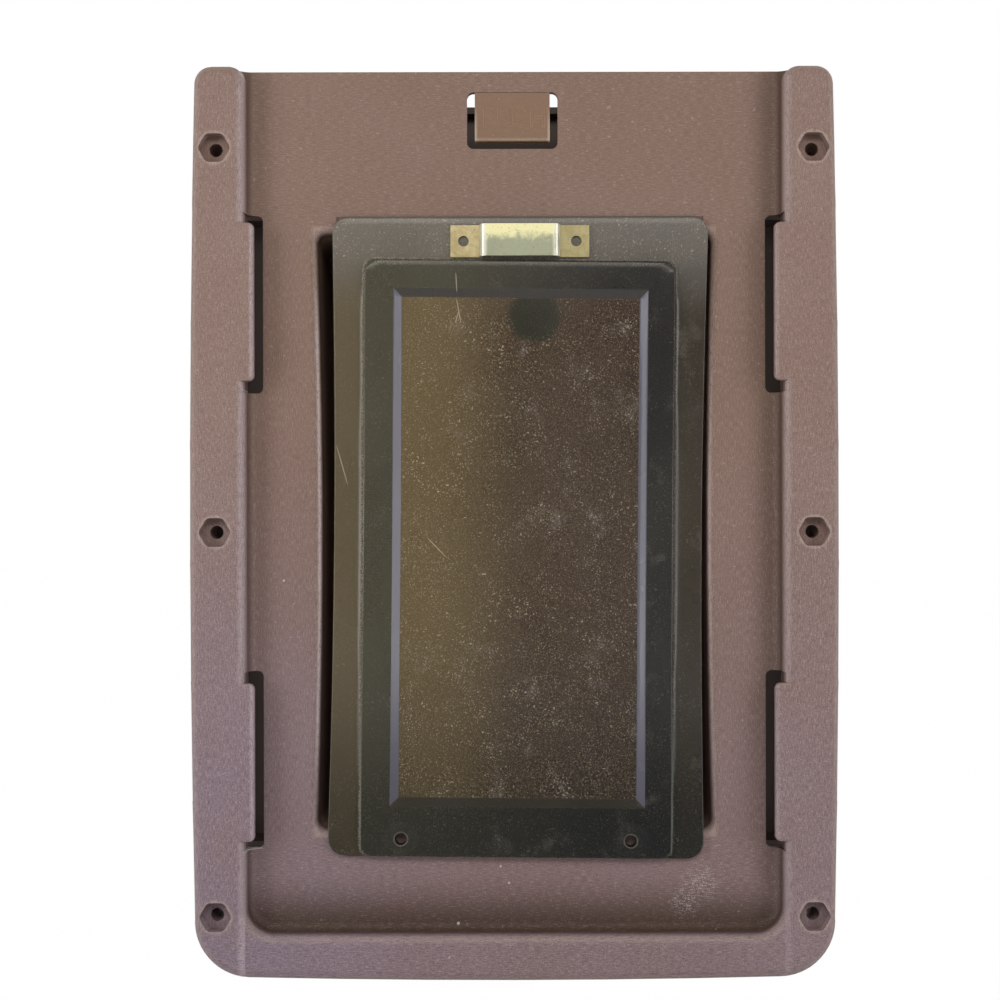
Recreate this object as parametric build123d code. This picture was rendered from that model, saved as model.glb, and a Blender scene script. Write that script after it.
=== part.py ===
from build123d import *
import os

os.makedirs("parts", exist_ok=True)

# A pet door for a house door. Sizes are in millimetres. X runs to the right, Y runs
# away from the viewer into the door leaf and Z runs up. The origin is the middle of
# the six screw holes, on the face where the inner frame meets the door leaf.

# Outline of both frames
frame_width = 218.8
side_bow = 1.9
foot_bow = 1.6
top_margin = 27.5
bottom_margin = 22.0
corner_radius = 19.0
end_radius = 6.0
flare_radius = 5.5
rail_rise = 0.4
outer_lip = 6.0

# Rails and sunken floor
rail_width = 18.9
bottom_rail = 15.5
rail_height = 16.0
recess_depth = 8.0
recess_radius = 9.5
rail_round = 3.4
cove = 3.0
wall = 2.4
floor_thick = 2.6
rib_thick = 1.8

# Passage and tunnel
opening_width = 134.6
opening_height = 203.2
opening_waist = 1.8
opening_corner = 3.5
opening_round = 2.8
door_leaf = 36.0
tunnel_overlap = 16.0
tunnel_gap = 0.4

# Screw holes, nut pockets and screw seats
hole_inset = 8.9
hole_spacing_z = 258.0
hole_diameter = 4.5
nut_flats = 9.6
nut_depth = 4.0
nut_corner = 2.0
boss_diameter = 13.4
seat_diameter = 9.4
seat_depth = 3.4

# Tabs that hold the closing panel, and the mould slots under them
tab_share = 0.3
tab_length = 53.2
tab_reach = 3.1
tab_thick = 2.4
slot_length = 60.4
slot_reach = 5.1
slot_bite = 0.6
slot_corner = 2.0

# Push latch and the slot round it
latch_width = 25.5
latch_x = -0.5
latch_drop = 6.9
latch_length = 16.6
latch_thick = 4.0
latch_root = 2.0
latch_gap = 2.7
latch_clear = 0.15

# Flap
flap_x = 2.0
flap_side_gap = 3.4
flap_waist = 1.3
flap_lap_top = 5.6
flap_lap_bottom = 8.8
flap_corner = 5.0
flap_rest = 0.3
margin_thick = 1.6
border_thick = 3.2
border_side = 10.9
border_top = 15.0
window_side = 20.3
window_top = 25.4
window_bottom = 17.2
bevel = 2.9
pad_radius = 8.1
pad_x = 3.7
pad_drop = 9.2
pad_thick = 1.6
flap_hole = 3.9
flap_hole_side = 25.0
flap_hole_up = 6.2
bead_radius = 1.2
bead_inset = 2.5
bead_gap = 0.3

# Metal clip and magnet on the flap
clip_length = 47.0
clip_height = 10.8
clip_down = 3.4
clip_sheet = 1.0
clip_bridge = 27.3
clip_lift = 3.3
clip_bend = 2.2
clip_hole = 3.6
clip_hole_spacing = 38.2
magnet_length = 23.0
magnet_height = 9.4
magnet_gap = 0.05

# Closing panel in the outer track
panel_side_gap = 1.2
panel_thick = 4.4
panel_gap = 0.4
panel_drop = 28.5
panel_round = 1.4
grip_width = 70.0
grip_height = 14.0
grip_depth = 1.6

# Sizes that follow from the ones above
half_width = frame_width / 2
hole_x = half_width - hole_inset
hole_z = hole_spacing_z / 2
frame_top = hole_z + top_margin
frame_bottom = -hole_z - bottom_margin
tab_centre_z = hole_spacing_z * tab_share
latch_top = frame_top - latch_drop
recess_half = half_width - rail_width
recess_bottom = frame_bottom + bottom_rail
rail_face = -rail_height
floor_face = -rail_height + recess_depth
floor_back = floor_face + floor_thick
web_back = rail_face + wall
half_open = opening_width / 2
half_high = opening_height / 2
inner_tunnel_end = door_leaf / 2 + tunnel_overlap / 2
flap_width = opening_width - 2 * flap_side_gap
flap_top = half_high + flap_lap_top
flap_height = opening_height + flap_lap_top + flap_lap_bottom
window_width = flap_width - 2 * window_side
window_height = flap_height - window_top - window_bottom
flap_hole_spacing = flap_width - 2 * flap_hole_side
panel_top = frame_top - panel_drop
flap_back = floor_face - flap_rest
margin_front = flap_back - margin_thick
border_front = flap_back - border_thick
flap_middle = flap_top - flap_height / 2
bead_z = flap_top - bead_radius
bead_y = flap_back - bead_radius + margin_thick / 2


def prism(sketch, front, back):
    """A front-view sketch swept through the depth from front to back."""
    plane = Plane(origin=(0, back, 0), x_dir=(1, 0, 0), z_dir=(0, -1, 0))
    return extrude(plane * sketch, amount=back - front)


def block(x0, x1, front, back, z0, z1):
    """A square-cornered block between two corners."""
    return Pos((x0 + x1) / 2, (front + back) / 2, (z0 + z1) / 2) * Box(x1 - x0, back - front, z1 - z0)


def mirrored_pair(solid):
    """A solid together with its mirror image across the middle of the door."""
    return [solid, mirror(solid, about=Plane.YZ)]


def outline(inset, top, lip):
    """Front view of the frame below a height, its sides and foot bowed a little outward."""
    side = half_width + lip - inset
    end = side - side_bow
    low = frame_bottom + inset
    foot = low + foot_bow
    high = frame_top + rail_rise - inset
    middle = (foot + high) / 2
    edges = [
        Line((-end, high), (end, high)),
        ThreePointArc((end, high), (side, middle), (end, foot)),
        ThreePointArc((end, foot), (0, low), (-end, foot)),
        ThreePointArc((-end, foot), (-side, middle), (-end, high)),
    ]
    face = make_face(edges)
    lower = face.vertices().sort_by(Axis.Y)[:2]
    face = fillet(lower, max(corner_radius - inset, 1.0))
    upper = face.vertices().sort_by(Axis.Y)[-2:]
    face = fillet(upper, max(end_radius - inset, 1.0))
    spare = frame_top + rail_rise - top
    if spare > 0:
        face -= Pos(0, high) * Rectangle(2 * side, 2 * spare)
    return face


def recess_outline():
    """Front view of the sunken floor, open at the top with flared rail ends."""
    top = frame_top + rail_rise
    flare = flare_radius
    mid = Pos(0, (recess_bottom + top + 20) / 2) * Rectangle(2 * recess_half, top + 20 - recess_bottom)
    mid = fillet(mid.vertices().sort_by(Axis.Y)[:2], recess_radius)
    corner = Pos(recess_half + flare / 2, top - flare / 2 + 0.01) * Rectangle(flare, flare + 0.02)
    corner -= Pos(recess_half + flare, top - flare) * Circle(flare)
    return mid + corner + mirror(corner, about=Plane.YZ)


def rail_ring(lip):
    """The U of three rails standing on the floor, with rounded front edges."""
    ring = outline(0, frame_top + rail_rise, lip) - recess_outline()
    rails = prism(ring, rail_face, floor_face + 0.5)
    front = rails.faces().sort_by(Axis.Y)[0]
    return fillet(front.edges(), rail_round)


def opening_face(grow):
    """Front view of the passage, its long sides bowed a little inward."""
    side = half_open + grow
    tall = half_high + grow
    waist = side - opening_waist
    edges = [
        Line((-side, tall), (side, tall)),
        ThreePointArc((side, tall), (waist, 0), (side, -tall)),
        Line((side, -tall), (-side, -tall)),
        ThreePointArc((-side, -tall), (-waist, 0), (-side, tall)),
    ]
    face = make_face(edges)
    return fillet(face.vertices(), opening_corner + grow)


def hex_pocket(x, z):
    """A nut pocket sunk in the rail face, points left and right."""
    nut = RegularPolygon(nut_flats / 2, 6, major_radius=False)
    nut = fillet(nut.vertices(), nut_corner)
    return prism(Pos(x, z) * nut, rail_face - 1, rail_face + nut_depth)


def round_seat(x, z):
    """A round seat for a screw head sunk in the rail face."""
    return prism(Pos(x, z) * Circle(seat_diameter / 2), rail_face - 1, rail_face + seat_depth)


def screw_places():
    """Front-view places of the six screw holes."""
    return [(sx * hole_x, sz * hole_z) for sx in (-1, 1) for sz in (-1, 0, 1)]


def hollow_back(lip):
    """The space behind the floor and inside the three rails, open toward the door leaf."""
    inside = outline(wall, frame_top, lip)
    cavity = prism(inside, floor_back, 1.0)
    rails = inside - offset(recess_outline(), wall)
    return cavity + prism(rails, web_back, floor_back + 0.5)


def stiffeners(tunnel, lip):
    """Bosses, ribs and the tunnel wall that fill parts of the hollow."""
    solids = []
    for x, z in screw_places():
        solids.append(prism(Pos(x, z) * Circle(boss_diameter / 2), web_back - 0.5, 0))
    gap_rib = tab_centre_z - slot_length / 2 - 12
    end_rib = tab_centre_z + slot_length / 2 + 8
    for z in (-end_rib, -gap_rib, gap_rib, end_rib):
        x1 = half_width + lip - wall + 0.2
        solids += mirrored_pair(block(half_open, x1, floor_back - 0.5, 0, z - rib_thick / 2, z + rib_thick / 2))
        x0 = recess_half + wall / 2
        solids += mirrored_pair(block(x0, x1, web_back - 0.5, 0, z - rib_thick / 2, z + rib_thick / 2))
    for x in (half_open * 0.45, half_open * 0.92):
        low = frame_bottom + wall / 2
        solids += mirrored_pair(block(x, x + rib_thick, floor_back - 0.5, 0, half_high, frame_top - wall / 2))
        solids += mirrored_pair(block(x, x + rib_thick, floor_back - 0.5, 0, low, -half_high))
    solids.append(tunnel)
    return solids


def tab_slots():
    """The cut through rail edge and floor that lets the mould form each tab."""
    cuts = []
    x0 = recess_half - slot_reach
    x1 = recess_half + slot_bite
    for z in (-tab_centre_z, tab_centre_z):
        face = Pos((x0 + x1) / 2, z) * Rectangle(x1 - x0, slot_length)
        inner = face.vertices().sort_by(Axis.X)[:2]
        cuts += mirrored_pair(prism(fillet(inner, slot_corner), rail_face - 1, 1.0))
    return cuts


def tabs():
    """Flat tabs that reach from the rail face over the sunken floor."""
    solids = []
    root = recess_half + rail_round + 0.4
    tip = recess_half - tab_reach
    for z in (-tab_centre_z, tab_centre_z):
        face = Pos((root + tip) / 2, z) * Rectangle(root - tip, tab_length)
        outer = face.vertices().sort_by(Axis.X)[:2]
        tab = prism(fillet(outer, slot_corner), rail_face, rail_face + tab_thick)
        front = tab.faces().sort_by(Axis.Y)[0]
        lips = front.edges().filter_by(lambda e: e.center().X < root - 1.0)
        solids += mirrored_pair(fillet(lips, tab_thick * 0.48))
    return solids


def latch_slot():
    """The U-shaped slot that frees the latch on three sides."""
    wide = latch_width + 2 * latch_gap
    low = latch_top - latch_length - latch_gap
    face = Pos(latch_x, (low + latch_top) / 2) * Rectangle(wide, latch_top - low)
    return prism(fillet(face.vertices(), latch_gap * 0.8), floor_face - 1, 1.0)


def bead_groove():
    """A shallow round groove above the passage for the bead on the flap."""
    length = flap_width - 2 * bead_inset + 2.0
    groove = Cylinder(bead_radius + bead_gap, length, rotation=(0, 90, 0))
    return Pos(flap_x, bead_y, bead_z) * groove


def frame_body(tunnel, pocket, lip):
    """A frame half as seen from its open side, without the latch."""
    slab = prism(outline(0, frame_top, lip), floor_face, 0)
    body = slab + rail_ring(lip)
    foot = body.edges().filter_by(lambda e: is_foot(e))
    body = fillet(foot, cove)
    body -= hollow_back(lip)
    for solid in stiffeners(tunnel, lip):
        body += solid
    body -= prism(opening_face(0), floor_face - 1, door_leaf)
    rim = body.edges().filter_by(lambda e: is_rim(e))
    body = fillet(rim, opening_round)
    for cut in tab_slots():
        body -= cut
    for tab in tabs():
        body += tab
    for x, z in screw_places():
        body -= pocket(x, z)
        body -= prism(Pos(x, z) * Circle(hole_diameter / 2), rail_face - 1, 1.0)
    return body


def is_foot(edge):
    """True for the edges where the rails stand on the floor."""
    middle = edge.center()
    box = edge.bounding_box()
    flat = abs(box.max.Y - floor_face) < 0.01 and abs(box.min.Y - floor_face) < 0.01
    inside = abs(middle.X) < recess_half + 4.5 and middle.Z < frame_top - 0.05
    return flat and inside and (abs(middle.X) > half_open or middle.Z < -half_high)


def is_rim(edge):
    """True for the front edges of the passage."""
    box = edge.bounding_box()
    flat = abs(box.max.Y - floor_face) < 0.01 and abs(box.min.Y - floor_face) < 0.01
    inside = max(abs(box.min.X), abs(box.max.X)) < half_open + 0.1
    return flat and inside and max(abs(box.min.Z), abs(box.max.Z)) < half_high + 0.1


def make_interior_frame():
    """The inner frame, the one that faces the viewer."""
    tunnel = prism(opening_face(wall), floor_back - 0.5, inner_tunnel_end)
    body = frame_body(tunnel, hex_pocket, 0)
    body -= prism(opening_face(0), floor_back, door_leaf)
    body -= latch_slot()
    return body - bead_groove()


def make_exterior_frame():
    """The outer frame: a like moulding turned to face out, with wider rails and tunnel."""
    inner = wall + tunnel_gap
    reach = door_leaf - inner_tunnel_end + tunnel_overlap
    tunnel = prism(opening_face(inner + wall), floor_back - 0.5, reach)
    body = frame_body(tunnel, round_seat, outer_lip)
    body -= prism(opening_face(inner), floor_back, door_leaf)
    return mirror(body, about=Plane.XZ.offset(-door_leaf / 2))


def make_push_latch():
    """The tongue of the latch, thin at its root and thick at the end that is pressed."""
    high = latch_top - latch_clear
    low = latch_top - latch_length
    root = floor_face + latch_root
    back = floor_face + latch_thick
    points = [
        (floor_face, high),
        (root, high),
        (root, high - latch_length * 0.35),
        (back, high - latch_length * 0.6),
        (back, low),
        (floor_face, low),
    ]
    side = Plane.YZ * make_face(Polyline(*points, close=True))
    tongue = Pos(latch_x - latch_width / 2, 0, 0) * extrude(side, amount=latch_width)
    heel = tongue.edges().filter_by(Axis.X).sort_by(Axis.Z)[-2:].sort_by(Axis.Y)[-1]
    tongue = fillet(heel, latch_root * 0.75)
    tip = tongue.faces().sort_by(Axis.Z)[0].edges().sort_by(Axis.Y)[0]
    return fillet(tip, 0.7)


def flap_outline():
    """Front view of the flap, its long sides bowed a little inward."""
    side = flap_width / 2
    low = flap_top - flap_height
    edges = [
        Line((flap_x - side, flap_top), (flap_x + side, flap_top)),
        ThreePointArc(
            (flap_x + side, flap_top), (flap_x + side - flap_waist, flap_middle), (flap_x + side, low)
        ),
        Line((flap_x + side, low), (flap_x - side, low)),
        ThreePointArc(
            (flap_x - side, low), (flap_x - side + flap_waist, flap_middle), (flap_x - side, flap_top)
        ),
    ]
    face = make_face(edges)
    return fillet(face.vertices(), flap_corner)


def flap_border():
    """The thick border plate, round at its upper corners and flush with the lower edge."""
    wide = flap_width - 2 * border_side
    high = flap_top - border_top
    low = flap_top - flap_height
    face = Pos(flap_x, (high + low) / 2) * Rectangle(wide, high - low)
    face = fillet(face.vertices(), flap_corner * 0.8)
    plate = prism(face, border_front, margin_front + 0.2)
    front = plate.faces().sort_by(Axis.Y)[0]
    return fillet(front.edges(), 0.8)


def window_cut():
    """The sunken window with bevelled sides."""
    mid = Pos(flap_x, flap_top - window_top - window_height / 2)
    plane = Plane(origin=(0, border_front, 0), x_dir=(1, 0, 0), z_dir=(0, -1, 0))
    floor = Plane(origin=(0, margin_front, 0), x_dir=(1, 0, 0), z_dir=(0, -1, 0))
    outer = plane * mid * Rectangle(window_width, window_height)
    inner = floor * mid * Rectangle(window_width - 2 * bevel, window_height - 2 * bevel)
    return loft([outer, inner])


def make_flap():
    """The soft flap with its border, window, pad, holes and hanging bead."""
    above = Pos(flap_x, bead_z + 10) * Rectangle(flap_width, 20)
    flap = prism(flap_outline() - above, margin_front, flap_back) + flap_border()
    flap -= window_cut()
    pad_z = flap_top - window_top - pad_drop
    flap += prism(Pos(flap_x + pad_x, pad_z) * Circle(pad_radius), flap_back - 0.2, flap_back + pad_thick)
    bead = Cylinder(bead_radius, flap_width - 2 * bead_inset, rotation=(0, 90, 0))
    bead = fillet(bead.edges().filter_by(GeomType.CIRCLE), bead_radius * 0.8)
    flap += Pos(flap_x, bead_y, bead_z) * bead
    hole_height = flap_top - flap_height + flap_hole_up
    for x in (-flap_hole_spacing / 2, flap_hole_spacing / 2):
        flap -= prism(Pos(flap_x + x, hole_height) * Circle(flap_hole / 2), border_front - 1, flap_back + 1)
    return flap


def clip_place():
    """Height of the middle of the clip on the flap."""
    return flap_top - clip_down - clip_height / 2


def upright_edges(solid, depth):
    """The upright edges of a solid that lie at one depth."""
    return solid.edges().filter_by(Axis.Z).filter_by(lambda e: abs(e.center().Y - depth) < 0.01)


def make_magnet_clip():
    """A strip bent to a hat: two feet with holes and a raised bridge."""
    foot = margin_front
    top = foot - clip_sheet - clip_lift
    half = clip_length / 2
    leg = clip_bridge / 2
    points = [
        (-half, foot),
        (-half, foot - clip_sheet),
        (-leg, foot - clip_sheet),
        (-leg, top),
        (leg, top),
        (leg, foot - clip_sheet),
        (half, foot - clip_sheet),
        (half, foot),
        (leg - clip_sheet, foot),
        (leg - clip_sheet, top + clip_sheet),
        (clip_sheet - leg, top + clip_sheet),
        (clip_sheet - leg, foot),
    ]
    face = make_face(Polyline(*points, close=True))
    strip = extrude(face, amount=clip_height)
    strip = Pos(flap_x, 0, clip_place() - clip_height / 2) * strip
    strip = fillet(upright_edges(strip, top), clip_bend)
    strip = fillet(upright_edges(strip, top + clip_sheet), clip_bend - clip_sheet)
    for x in (-clip_hole_spacing / 2, clip_hole_spacing / 2):
        hole = Pos(flap_x + x, clip_place()) * Circle(clip_hole / 2)
        strip -= prism(hole, top - 1, foot + 1)
    return strip


def make_flap_magnet():
    """The bar magnet under the bridge of the clip."""
    face = Pos(flap_x, clip_place()) * Rectangle(magnet_length, magnet_height)
    return prism(face, margin_front - clip_lift + magnet_gap, margin_front)


def make_closing_panel():
    """A flat board that stands in the outer track, with a finger grip near its top."""
    side = recess_half - panel_side_gap
    low = recess_bottom + cove + 0.2
    face = Pos(0, (low + panel_top) / 2) * Rectangle(2 * side, panel_top - low)
    face = fillet(face.vertices(), recess_radius + 0.5)
    near = door_leaf - floor_face + panel_gap
    board = prism(face, near, near + panel_thick)
    faces = board.faces().sort_by(Axis.Y)
    board = fillet(faces[0].edges() + faces[-1].edges(), panel_round)
    grip = Pos(0, panel_top - grip_height) * SlotOverall(grip_width, grip_height)
    return board - prism(grip, near + panel_thick - grip_depth, near + panel_thick + 1)


makers = {
    "interior_frame": make_interior_frame,
    "push_latch": make_push_latch,
    "exterior_frame": make_exterior_frame,
    "closing_panel": make_closing_panel,
    "flap": make_flap,
    "magnet_clip": make_magnet_clip,
    "flap_magnet": make_flap_magnet,
}

for name, maker in makers.items():
    export_step(maker(), "parts/" + name + ".step")
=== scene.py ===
"""Looks of the pet door: materials, the soft flap, wear, light and camera.

Names that end in _mm are in millimetres, and all other lengths are in metres.
"""
import math

import bmesh
import bpy
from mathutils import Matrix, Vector


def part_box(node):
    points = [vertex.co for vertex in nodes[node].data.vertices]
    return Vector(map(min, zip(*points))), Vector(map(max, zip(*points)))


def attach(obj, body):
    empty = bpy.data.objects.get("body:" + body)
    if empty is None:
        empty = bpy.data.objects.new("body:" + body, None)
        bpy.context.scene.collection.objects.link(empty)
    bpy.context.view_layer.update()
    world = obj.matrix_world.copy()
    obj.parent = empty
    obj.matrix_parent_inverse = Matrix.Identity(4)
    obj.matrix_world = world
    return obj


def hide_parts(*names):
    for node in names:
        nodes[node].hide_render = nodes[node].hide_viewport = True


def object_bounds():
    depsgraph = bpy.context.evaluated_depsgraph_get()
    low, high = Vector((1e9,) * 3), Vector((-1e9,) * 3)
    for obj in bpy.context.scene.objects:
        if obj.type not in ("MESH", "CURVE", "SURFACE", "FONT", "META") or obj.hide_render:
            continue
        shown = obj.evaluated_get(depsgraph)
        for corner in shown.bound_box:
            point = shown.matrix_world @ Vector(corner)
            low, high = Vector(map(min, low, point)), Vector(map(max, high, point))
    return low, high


MM = 0.001
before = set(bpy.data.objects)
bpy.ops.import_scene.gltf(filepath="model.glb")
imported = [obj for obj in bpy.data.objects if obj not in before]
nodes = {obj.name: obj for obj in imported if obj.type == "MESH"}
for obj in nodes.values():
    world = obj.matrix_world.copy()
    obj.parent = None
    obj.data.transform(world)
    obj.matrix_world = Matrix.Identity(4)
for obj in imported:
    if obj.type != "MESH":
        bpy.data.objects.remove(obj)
cad_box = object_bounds()

# The front frame, close to the sizes of the CAD sketch. The recess is the sunken floor between its rails.
recess_half_mm = 91.0
recess_foot_mm = -134.5
passage_half_mm = (67.3, 101.6)
passage_waist_mm = 1.8
tab_ends_mm = (50.7, 104.1)
hole_x_mm = 100.5
hole_rise_mm = 129.0

# The hollows behind it and in the rear frame, which has a wider lip, and the sleeve round the passage
hollow_half_mm = 107.3
hollow_foot_mm = -149.2
sleeve_half_mm = (75.5, 110.5)
rear_floor_mm = 42.5
rear_face_mm = 49.9
rear_lip_mm = 6.0
rear_from_mm = 30.5

# Depths along Y over which a rail gives way to the recess, and the hollow back to the front
recess_depths_mm = (-14.0, -9.5)
front_depths_mm = (-5.0, -6.0)

# The soft flap, with the sizes of the CAD sketch
flap_x_mm = 1.7
flap_half_mm = 63.9
flap_waist_mm = 1.3
flap_low_mm = -110.4
flap_high_mm = 107.2
flap_back_mm = -8.3
flap_corner_mm = 6.0
sheet_mm = 1.6
border_mm = 1.6
border_middle_mm = (flap_x_mm, -9.1)
border_half_mm = (53.0, 101.3)
border_corner_mm = 4.0
border_round_mm = 0.8
rim_round_mm = 0.5
window_middle_mm = (flap_x_mm + 0.4, -5.5)
window_half_mm = (43.2, 87.7)
bevel_mm = 2.9
hinge_y_mm = -8.7
hinge_z_mm = 106.0
bead_mm = 1.2
hole_spread_mm = 38.9
hole_z_mm = -104.2
hole_mm = 1.95

# How the flap hangs: its belly, its lean to the left, and its low right side, from below the hinge on
flap_sag_mm = 2.2
flap_wave_mm = 0.25
flap_lean = 0.009
flap_tilt = 0.011
tilt_reach_mm = 14.0

# Where the flap's mesh is fine, as distances from its sides, its foot and its head
side_marks_mm = (10.9, 20.3, 23.2)
foot_marks_mm = (17.2, 20.1)
head_marks_mm = (15.0, 25.4, 28.3)
rim_steps_mm = (0.0, 0.12, 0.3, 0.6, 1.0)
mark_steps_mm = (-0.9, -0.45, -0.15, 0.0, 0.15, 0.45, 0.9)
widest_step_mm = 1.9

# The pad behind the window, and how wide it looks through the cloudy vinyl
pad_mm = 8.6
pad_blur_mm = 11.0
pad_thick_mm = 1.6
pad_place_mm = (6.8, 73.2)

# Wear on the front frame: x, z and reach of each fleck and scuffed patch,
# and chipped edges from x, z to x, z
fleck_places_mm = [
    (-4.9, -113.8, 0.5), (-2.0, -119.5, 0.5), (-19.3, -133.2, 0.6), (-22.0, -142.5, 0.4),
    (-78.5, -16.5, 0.5),
]
scuff_places_mm = [(63.0, -119.5, 9.0), (58.0, -126.0, 7.0)]
chip_places_mm = [((-91.3, 47.9), (-86.5, 47.6)), ((-91.2, -107.6), (-86.0, -107.4))]
chip_width_mm = 0.45

# Hairline scratches on the flap: from x, z to x, z
scratch_places_mm = [
    ((-60.3, 29.0), (-56.3, 15.2)), ((-20.0, 87.5), (-19.6, 81.0)), ((-19.8, 79.1), (-18.2, 70.8)),
    ((-20.1, 70.7), (-18.9, 75.1)), ((-29.3, -2.2), (-22.6, -9.0)),
]
scratch_width_mm = 0.22


def linear(r, g, b):
    """An sRGB colour, 0 to 255, as the linear values that shader sockets take."""
    def one(c):
        c /= 255
        return c / 12.92 if c <= 0.04045 else ((c + 0.055) / 1.055) ** 2.4
    return (one(r), one(g), one(b), 1.0)


def scaled(colour, share):
    """A linear colour made darker or lighter."""
    return tuple(c * share for c in colour[:3]) + (1.0,)


class Nodes:
    """A node tree under construction, with short calls for the nodes that it needs."""

    def __init__(self, tree):
        self.tree = tree

    def plug(self, socket, value):
        """A value or another node's output into a socket."""
        if isinstance(value, bpy.types.NodeSocket):
            self.tree.links.new(value, socket)
        else:
            socket.default_value = value

    def add(self, kind, **sockets):
        node = self.tree.nodes.new("ShaderNode" + kind)
        for key, value in sockets.items():
            self.plug(node.inputs[key.replace("_", " ")], value)
        return node

    def math(self, op, *values):
        """One sum, folded over all the values where there are more than two."""
        result = values[0]
        for value in values[1:] or [0.0]:
            node = self.add("Math")
            node.operation = op
            self.plug(node.inputs[0], result)
            self.plug(node.inputs[1], value)
            result = node.outputs[0]
        return result

    def times(self, *values):
        return self.math("MULTIPLY", *values)

    def plus(self, *values):
        return self.math("ADD", *values)

    def minus(self, a, b):
        return self.math("SUBTRACT", a, b)

    def size(self, value):
        """A number without its sign."""
        return self.math("ABSOLUTE", value)

    def most(self, *values):
        return self.math("MAXIMUM", *values)

    def least(self, *values):
        return self.math("MINIMUM", *values)

    def step(self, value, low, high, to_low=0.0, to_high=1.0):
        """A smooth step of value from low to high."""
        node = self.add("MapRange", Value=value)
        node.interpolation_type = "SMOOTHSTEP"
        numbers = {"From Min": low, "From Max": high, "To Min": to_low, "To Max": to_high}
        for key, number in numbers.items():
            node.inputs[key].default_value = number
        return node.outputs["Result"]

    def vector(self, op, *values):
        """One vector sum. A length or a distance comes out as a number."""
        node = self.add("VectorMath")
        node.operation = op
        for socket, value in zip(node.inputs, values):
            self.plug(socket, value)
        return node.outputs["Value" if op in ("LENGTH", "DISTANCE") else "Vector"]

    def axes(self, vector):
        node = self.add("SeparateXYZ")
        self.plug(node.inputs[0], vector)
        return node.outputs

    def mix(self, fac, a, b):
        """Two colours, or two vectors read as colours, in a given share."""
        node = self.add("Mix")
        node.data_type = "RGBA"
        self.plug(node.inputs["Factor"], fac)
        self.plug(node.inputs[6], a)
        self.plug(node.inputs[7], b)
        return node.outputs[2]

    def seen(self):
        """Whether a ray from the camera, and whether one from a gloss or a clear body, looks at this."""
        path = self.add("LightPath")
        clear = self.most(path.outputs["Is Glossy Ray"], path.outputs["Is Transmission Ray"])
        return path.outputs["Is Camera Ray"], clear


class Shader(Nodes):
    """A material with one glossy plastic or metal shader."""

    def __init__(self, name, roughness, **sockets):
        self.mat = bpy.data.materials.new(name)
        self.mat.use_nodes = True
        super().__init__(self.mat.node_tree)
        self.bsdf = self.tree.nodes["Principled BSDF"]
        self.bsdf.inputs["Roughness"].default_value = roughness
        for key, value in sockets.items():
            self.bsdf.inputs[key.replace("_", " ")].default_value = value
        coords = self.add("TexCoord")
        self.place = coords.outputs["Object"]
        self.normal = coords.outputs["Normal"]

    def place_mm(self):
        """Object coordinates in millimetres."""
        return self.axes(self.stretched(1000, 1000, 1000))

    def stretched(self, *scale):
        """Object coordinates scaled by a number for each axis."""
        return self.vector("MULTIPLY", self.place, scale)

    def front_view(self, x, z):
        """A point of the front view, as a vector."""
        return self.add("CombineXYZ", X=x, Z=z).outputs[0]

    def noise(self, vector, scale=1.0, detail=2.0, rough=0.5, warp=0.0):
        node = self.add("TexNoise", Vector=vector, Scale=scale, Detail=detail, Roughness=rough)
        node.inputs["Distortion"].default_value = warp
        return node.outputs["Fac"]

    def peaks(self, vector, low, high):
        """Scattered specks of uneven size and shape: the peaks of a noise."""
        return self.step(self.noise(vector, detail=0.0), low, high)

    def sharp_edges(self, reach):
        """1 along edges that stand proud and 0 on flat faces and in corners."""
        node = self.add("AmbientOcclusion", Distance=reach)
        node.inside = True
        node.only_local = True
        node.samples = 3
        return self.step(node.outputs["AO"], 0.97, 0.62)

    def past_box(self, flat, middle, half):
        """How far a point of the front view lies past the sides of an upright rectangle, as a vector."""
        off = self.vector("SUBTRACT", flat, (middle[0], 0, middle[1]))
        return self.vector("SUBTRACT", self.vector("ABSOLUTE", off), (half[0], 0, half[1]))

    def box_distance(self, flat, middle, half, corner):
        """Signed distance to an upright rectangle with round corners, negative inside."""
        past = self.past_box(flat, middle, (half[0] - corner, half[1] - corner))
        outside = self.vector("LENGTH", self.vector("MAXIMUM", past, (0, 0, 0)))
        across, _, along = self.axes(past)
        inside = self.least(self.most(across, along), 0.0)
        return self.plus(outside, inside, -corner)

    def distance(self, flat, place):
        return self.vector("DISTANCE", flat, (place[0], 0, place[1]))

    def spot(self, flat, middle, reach):
        """A round spot, 1 at its middle and 0 at its rim."""
        return self.step(self.distance(flat, middle), reach, reach * 0.6)

    def line(self, flat, start, end, width):
        """A hairline from start to end, as a thin ellipse."""
        length = math.dist(start, end)
        around = self.plus(self.distance(flat, start), self.distance(flat, end), -length)
        fall = 2 * width ** 2 / length
        return self.step(around, fall, fall * 0.1)

    def bump(self, height, depth, below=None):
        """Surface relief: height runs from 0 to 1 over depth metres."""
        node = self.add("Bump", Strength=1.0, Distance=depth, Height=height)
        if below is not None:
            self.plug(node.inputs["Normal"], below)
        return node.outputs[0]

    def finish(self, colour, roughness=None, normal=None, alpha=None):
        """The looks into the shader's sockets, and the finished material."""
        sockets = {"Base Color": colour, "Roughness": roughness, "Normal": normal, "Alpha": alpha}
        for key, value in sockets.items():
            if value is not None:
                self.plug(self.bsdf.inputs[key], value)
        return self.mat


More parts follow.
